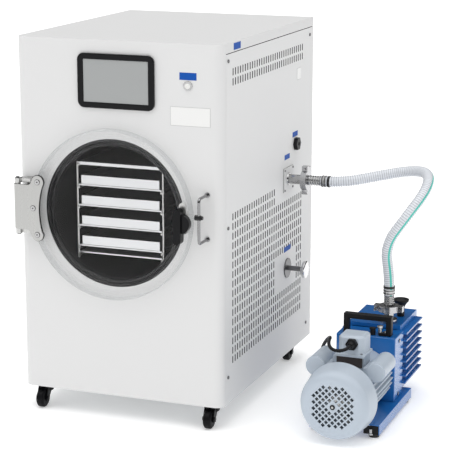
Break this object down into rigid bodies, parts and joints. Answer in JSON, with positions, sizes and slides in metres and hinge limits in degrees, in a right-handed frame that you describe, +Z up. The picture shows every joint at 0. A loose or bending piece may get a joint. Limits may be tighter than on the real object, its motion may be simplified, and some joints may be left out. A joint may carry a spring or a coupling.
{
  "type": "freeze dryer",
  "caption": "Cabinet freeze dryer on casters with a round clear door, sliding shelf rack and touch display, joined by a ribbed hose to a rotary-vane vacuum pump.",
  "frame": {"origin": "on the floor, below the middle of the footprint's box (cabinet and pump together, without the cord and hose)", "axes": "+X to the right of someone who faces the door, +Y to the back, +Z up"},
  "size_m": [0.7898, 0.6256, 0.79],
  "materials": {
    "cabinet_paint": "satin off-white powder coat",
    "stainless": "satin stainless steel",
    "clear_acrylic": "thick clear disc, polished",
    "seal_black": "matt black",
    "copper": "drawn copper tube",
    "aluminium": "satin",
    "black_plastic": "glossy black",
    "matt_black": "matt black",
    "screen_grey": "grey screen",
    "white_cap": "satin",
    "black_paint": "gloss black",
    "galvanised": "zinc plated",
    "caster_rubber": "matt black",
    "motor_paint": "light grey-blue paint",
    "blue_paint": "blue enamel",
    "support_paint": "light blue enamel",
    "clear_hose": "clear ribbed PVC",
    "cord_black": "matt black",
    "steel": "machined"
  },
  "bodies": {
    "cabinet": {"base_frame": "galvanised", "button_bezel": "stainless", "cable_glands": "matt_black", "caster_plates": "galvanised", "catch_bar": "stainless", "compressor": "black_paint", "condenser": "aluminium", "control_box": "galvanised", "cord_coil": "cord_black", "cord_plug": "cord_black", "cord_tube": "cord_black", "display_bezel": "black_plastic", "display_screen": "screen_grey", "door_seal": "seal_black", "drain_valve": "stainless", "evaporator_coil": "copper", "exhaust_cap": "matt_black", "fan_cover": "motor_paint", "front_panel": "cabinet_paint", "hinge_bracket": "stainless", "hose_adapters": "stainless", "kf_clamps": "aluminium", "left_panel": "cabinet_paint", "oil_case": "blue_paint", "panel_screws": "stainless", "pump_base": "blue_paint", "pump_feet": "seal_black", "pump_handle": "matt_black", "pump_inlet": "stainless", "pump_motor": "motor_paint", "pump_support": "support_paint", "rack_frame": "stainless", "rear_panel": "cabinet_paint", "right_panel": "cabinet_paint", "shelf_plates": "aluminium", "terminal_box": "motor_paint", "top_cover": "cabinet_paint", "trays": "aluminium", "vacuum_chamber": "stainless", "vacuum_hose": "clear_hose", "vacuum_port": "stainless"},
    "door": {"door_disc": "clear_acrylic", "hinge_plate": "stainless", "latch_mount": "stainless"},
    "latch": {"latch_tongue": "stainless", "latch_handle": "black_plastic"},
    "power_button": {"power_button": "white_cap"},
    "drain_knob": {"drain_knob": "stainless"},
    "condenser_fan": {"condenser_fan": "matt_black"},
    "pump_rotor": {"cooling_fan": "white_cap", "motor_shaft": "steel"},
    "fork_front_left": {"caster_fork_front_left": "matt_black"},
    "wheel_front_left": {"caster_wheel_front_left": "caster_rubber"},
    "fork_front_right": {"caster_fork_front_right": "matt_black"},
    "wheel_front_right": {"caster_wheel_front_right": "caster_rubber"},
    "fork_rear_left": {"caster_fork_rear_left": "matt_black"},
    "wheel_rear_left": {"caster_wheel_rear_left": "caster_rubber"},
    "fork_rear_right": {"caster_fork_rear_right": "matt_black"},
    "wheel_rear_right": {"caster_wheel_rear_right": "caster_rubber"}
  },
  "joints": [
    {"name": "door_swing", "type": "hinge", "parent": "cabinet", "child": "door", "pos_m": [-0.3734, -0.27925, 0.438], "axis": [0, 0, -1], "range_deg": [0, 110]},
    {"name": "latch_turn", "type": "hinge", "parent": "door", "child": "latch", "pos_m": [-0.0024, -0.29725, 0.44], "axis": [0, 1, 0], "range_deg": [0, 80]},
    {"name": "button_press", "type": "slide", "parent": "cabinet", "child": "power_button", "axis": [0, 1, 0], "range_m": [0, 0.002], "stiffness_N_per_m": 400},
    {"name": "drain_turn", "type": "hinge", "parent": "cabinet", "child": "drain_knob", "pos_m": [0.0996, 0.14275, 0.25], "axis": [1, 0, 0], "range_deg": [0, 720]},
    {"name": "condenser_fan_spin", "type": "hinge", "parent": "cabinet", "child": "condenser_fan", "pos_m": [-0.0254, -0.04225, 0.142], "axis": [1, 0, 0], "continuous": true},
    {"name": "pump_rotor_spin", "type": "hinge", "parent": "cabinet", "child": "pump_rotor", "pos_m": [0.3016, -0.10725, 0.0845], "axis": [0, 1, 0], "continuous": true},
    {"name": "caster_swivel_front_left", "type": "hinge", "parent": "cabinet", "child": "fork_front_left", "pos_m": [-0.3474, -0.22425, 0.04], "axis": [0, 0, 1], "continuous": true},
    {"name": "caster_roll_front_left", "type": "hinge", "parent": "fork_front_left", "child": "wheel_front_left", "pos_m": [-0.3474, -0.24225, 0.02], "axis": [1, 0, 0], "continuous": true},
    {"name": "caster_swivel_front_right", "type": "hinge", "parent": "cabinet", "child": "fork_front_right", "pos_m": [0.0326, -0.22425, 0.04], "axis": [0, 0, 1], "continuous": true},
    {"name": "caster_roll_front_right", "type": "hinge", "parent": "fork_front_right", "child": "wheel_front_right", "pos_m": [0.0326, -0.24225, 0.02], "axis": [1, 0, 0], "continuous": true},
    {"name": "caster_swivel_rear_left", "type": "hinge", "parent": "cabinet", "child": "fork_rear_left", "pos_m": [-0.3474, 0.27075, 0.04], "axis": [0, 0, 1], "continuous": true},
    {"name": "caster_roll_rear_left", "type": "hinge", "parent": "fork_rear_left", "child": "wheel_rear_left", "pos_m": [-0.3474, 0.25275, 0.02], "axis": [1, 0, 0], "continuous": true},
    {"name": "caster_swivel_rear_right", "type": "hinge", "parent": "cabinet", "child": "fork_rear_right", "pos_m": [0.0326, 0.27075, 0.04], "axis": [0, 0, 1], "continuous": true},
    {"name": "caster_roll_rear_right", "type": "hinge", "parent": "fork_rear_right", "child": "wheel_rear_right", "pos_m": [0.0326, 0.25275, 0.02], "axis": [1, 0, 0], "continuous": true}
  ]
}
